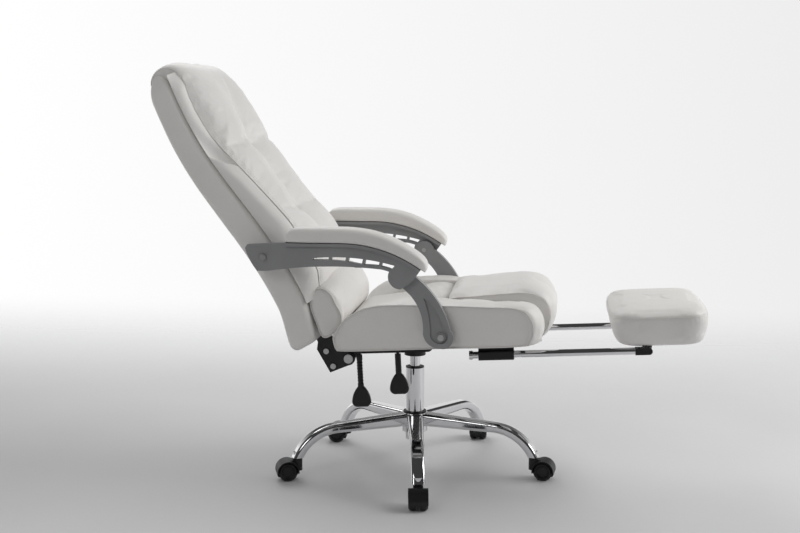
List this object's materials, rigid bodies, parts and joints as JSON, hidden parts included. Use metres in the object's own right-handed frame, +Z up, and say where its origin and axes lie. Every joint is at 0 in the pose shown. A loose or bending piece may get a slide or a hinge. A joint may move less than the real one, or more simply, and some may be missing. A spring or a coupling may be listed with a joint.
{
  "type": "reclining office chair with footrest",
  "caption": "Padded reclining office chair on a star base with casters, with a gas lift, linked swinging arms and a footrest that slides out from under the seat.",
  "frame": {"origin": "on the floor, on the axis of the gas column", "axes": "+X the way the sitter faces, +Y to the sitter's left, +Z up"},
  "size_m": [1.4398, 0.7364, 1.1104],
  "materials": {
    "chrome": "polished plate",
    "bright_steel": "zinc plated",
    "black_steel": "satin powder coat",
    "black_plastic": "fine grain nylon",
    "grey_plastic": "satin moulded",
    "plywood": "raw",
    "white_leather": "soft coated hide"
  },
  "bodies": {
    "base": {"star_base": "chrome", "column_tube": "chrome", "column_bush": "black_plastic", "hub_ring": "black_plastic", "thrust_bearing": "bright_steel"},
    "spindle": {"piston_rod": "bright_steel", "rod_clip": "bright_steel"},
    "seat": {"gas_cylinder": "chrome", "mechanism_housing": "black_steel", "mechanism_bolts": "bright_steel", "hinge_shaft": "bright_steel", "seat_board": "plywood", "seat_cushion": "white_leather", "thigh_roll": "white_leather", "seat_bolster_left": "white_leather", "seat_bolster_right": "white_leather", "footrest_guide_left": "black_plastic", "footrest_guide_right": "black_plastic", "guide_screws": "bright_steel", "arm_post_bolts": "bright_steel"},
    "back": {"back_board": "plywood", "back_cover": "white_leather", "back_cushion": "white_leather", "edge_bolster_left": "white_leather", "edge_bolster_right": "white_leather", "lumbar_cushion": "white_leather", "back_bracket_left": "black_steel", "back_bracket_right": "black_steel", "bracket_spacers": "bright_steel", "bracket_bolts": "bright_steel", "arm_rear_bolts": "bright_steel"},
    "lift_lever": {"lift_lever_rod": "black_steel", "lift_lever_paddle": "black_plastic"},
    "recline_lever": {"recline_lever_rod": "black_steel", "recline_lever_paddle": "black_plastic"},
    "footrest_frame": {"footrest_rod_left": "chrome", "footrest_rod_right": "chrome", "rod_ends": "black_plastic", "pivot_tube": "chrome"},
    "footrest_pad": {"footrest_hinges": "black_steel", "footrest_board": "plywood", "footrest_cushion": "white_leather"},
    "arm_beam_left": {"arm_beam_left": "grey_plastic", "arm_pad_left": "white_leather"},
    "arm_post_left": {"arm_post_left": "grey_plastic", "knuckle_pin_left": "bright_steel"},
    "arm_beam_right": {"arm_beam_right": "grey_plastic", "arm_pad_right": "white_leather"},
    "arm_post_right": {"arm_post_right": "grey_plastic", "knuckle_pin_right": "bright_steel"},
    "caster_fork_1": {"caster_fork_1": "black_plastic"},
    "caster_wheels_1": {"caster_wheels_1": "black_plastic"},
    "caster_fork_2": {"caster_fork_2": "black_plastic"},
    "caster_wheels_2": {"caster_wheels_2": "black_plastic"},
    "caster_fork_3": {"caster_fork_3": "black_plastic"},
    "caster_wheels_3": {"caster_wheels_3": "black_plastic"},
    "caster_fork_4": {"caster_fork_4": "black_plastic"},
    "caster_wheels_4": {"caster_wheels_4": "black_plastic"},
    "caster_fork_5": {"caster_fork_5": "black_plastic"},
    "caster_wheels_5": {"caster_wheels_5": "black_plastic"}
  },
  "joints": [
    {"name": "seat_swivel", "type": "hinge", "parent": "base", "child": "spindle", "pos_m": [0, 0, 0.084], "axis": [0, 0, 1], "continuous": true},
    {"name": "seat_lift", "type": "slide", "parent": "spindle", "child": "seat", "axis": [0, 0, 1], "range_m": [0, 0.08]},
    {"name": "recline", "type": "hinge", "parent": "seat", "child": "back", "pos_m": [-0.164, 0, 0.325], "axis": [0, 1, 0], "range_deg": [0, 20]},
    {"name": "footrest_slide", "type": "slide", "parent": "seat", "child": "footrest_frame", "axis": [-0.9986, 0, -0.0523], "range_m": [0, 0.3]},
    {"name": "footrest_flip", "type": "hinge", "parent": "footrest_frame", "child": "footrest_pad", "pos_m": [0.61089, 0, 0.37997], "axis": [0, 1, 0], "range_deg": [-0.5, 180.5]},
    {"name": "lift_lever_pull", "type": "hinge", "parent": "seat", "child": "lift_lever", "pos_m": [-0.0308, -0.121, 0.35735], "axis": [-0.9986, 0, -0.0523], "range_deg": [0, 15], "stiffness_Nm_per_rad": 0.6},
    {"name": "recline_lever_pull", "type": "hinge", "parent": "seat", "child": "recline_lever", "pos_m": [-0.13267, -0.121, 0.35202], "axis": [-0.9986, 0, -0.0523], "range_deg": [0, 15], "stiffness_Nm_per_rad": 0.6},
    {"name": "arm_beam_left_pivot", "type": "hinge", "parent": "back", "child": "arm_beam_left", "pos_m": [-0.347, 0, 0.616], "axis": [0, 1, 0], "range_deg": [-18, 0.5]},
    {"name": "arm_post_left_pivot", "type": "hinge", "parent": "seat", "child": "arm_post_left", "pos_m": [0.095, 0, 0.42], "axis": [0, 1, 0], "range_deg": [-0.5, 36.5]},
    {"name": "arm_beam_right_pivot", "type": "hinge", "parent": "back", "child": "arm_beam_right", "pos_m": [-0.347, 0, 0.616], "axis": [0, 1, 0], "range_deg": [-18, 0.5]},
    {"name": "arm_post_right_pivot", "type": "hinge", "parent": "seat", "child": "arm_post_right", "pos_m": [0.095, 0, 0.42], "axis": [0, 1, 0], "range_deg": [-0.5, 36.5]},
    {"name": "caster_swivel_1", "type": "hinge", "parent": "base", "child": "caster_fork_1", "pos_m": [0.04435, -0.32802, 0.06], "axis": [0, 0, 1], "continuous": true},
    {"name": "caster_roll_1", "type": "hinge", "parent": "caster_fork_1", "child": "caster_wheels_1", "pos_m": [0.04776, -0.35581, 0.025], "axis": [0.9925, 0.1219, 0], "continuous": true},
    {"name": "caster_swivel_2", "type": "hinge", "parent": "base", "child": "caster_fork_2", "pos_m": [0.32567, -0.05918, 0.06], "axis": [0, 0, 1], "continuous": true},
    {"name": "caster_roll_2", "type": "hinge", "parent": "caster_fork_2", "child": "caster_wheels_2", "pos_m": [0.35339, -0.06308, 0.025], "axis": [0.1392, 0.9903, 0], "continuous": true},
    {"name": "caster_swivel_3", "type": "hinge", "parent": "base", "child": "caster_fork_3", "pos_m": [0.15692, 0.29144, 0.06], "axis": [0, 0, 1], "continuous": true},
    {"name": "caster_roll_3", "type": "hinge", "parent": "caster_fork_3", "child": "caster_wheels_3", "pos_m": [0.15692, 0.31944, 0.025], "axis": [-1, 0, 0], "continuous": true},
    {"name": "caster_swivel_4", "type": "hinge", "parent": "base", "child": "caster_fork_4", "pos_m": [-0.22868, 0.2393, 0.06], "axis": [0, 0, 1], "continuous": true},
    {"name": "caster_roll_4", "type": "hinge", "parent": "caster_fork_4", "child": "caster_wheels_4", "pos_m": [-0.25668, 0.2393, 0.025], "axis": [0, -1, 0], "continuous": true},
    {"name": "caster_swivel_5", "type": "hinge", "parent": "base", "child": "caster_fork_5", "pos_m": [-0.29826, -0.14354, 0.06], "axis": [0, 0, 1], "continuous": true},
    {"name": "caster_roll_5", "type": "hinge", "parent": "caster_fork_5", "child": "caster_wheels_5", "pos_m": [-0.32457, -0.15312, 0.025], "axis": [0.342, -0.9397, 0], "continuous": true}
  ],
  "couplings": [
    {"joint": "footrest_flip", "follows": "footrest_slide", "rad_per_m": 10.472},
    {"joint": "arm_beam_left_pivot", "follows": "recline", "ratio": -0.86697},
    {"joint": "arm_post_left_pivot", "follows": "recline", "ratio": 1.7984},
    {"joint": "arm_beam_right_pivot", "follows": "recline", "ratio": -0.86697},
    {"joint": "arm_post_right_pivot", "follows": "recline", "ratio": 1.7984}
  ]
}
